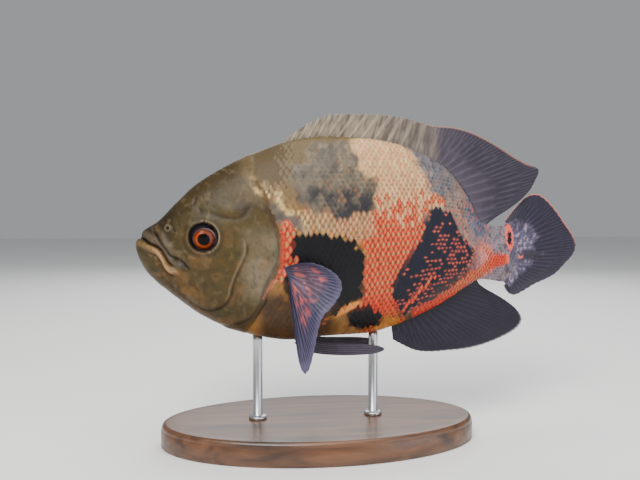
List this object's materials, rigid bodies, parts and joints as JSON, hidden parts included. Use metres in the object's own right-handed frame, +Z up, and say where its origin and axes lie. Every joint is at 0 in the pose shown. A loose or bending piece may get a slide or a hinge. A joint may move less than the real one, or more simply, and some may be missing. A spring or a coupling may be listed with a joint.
{
  "type": "oscar fish",
  "caption": "Life-size still model of an adult oscar fish, deep bodied with rounded fins, held above a plain oval stand by short rods.",
  "frame": {"origin": "middle of the stand's flat underside, on the surface that it stands on", "axes": "+Z up; the fish faces -X with its left flank towards -Y"},
  "size_m": [0.3045, 0.098, 0.2046],
  "materials": {
    "head_skin": "satin olive-brown skin, smooth and moist looking",
    "lip_skin": "satin tan skin, thick soft lips",
    "body_skin": "satin scales, orange, grey, cream and black patches",
    "fin_web": "satin dark purple fin web with raised rays",
    "fin_pale": "satin lilac-grey fin web with fine rays",
    "eye": "glossy, orange-red iris and black pupil",
    "stand_wood": "dark stained, satin varnish",
    "stand_metal": "fine brushed"
  },
  "bodies": {
    "root": {"head": "head_skin", "upper_jaw": "lip_skin", "lower_jaw": "lip_skin", "gill_cover_l": "head_skin", "gill_cover_r": "head_skin", "trunk_front": "body_skin", "trunk_rear": "body_skin", "tail_stem": "body_skin", "dorsal_fin_spiny": "fin_web", "dorsal_fin_soft": "fin_web", "anal_fin": "fin_web", "caudal_fin": "fin_web", "pectoral_fin_l": "fin_pale", "pectoral_fin_r": "fin_pale", "pelvic_fin_l": "fin_web", "pelvic_fin_r": "fin_web", "eye_l": "eye", "eye_r": "eye", "stand_base": "stand_wood", "stand_rod_front": "stand_metal", "stand_rod_rear": "stand_metal"}
  },
  "joints": []
}
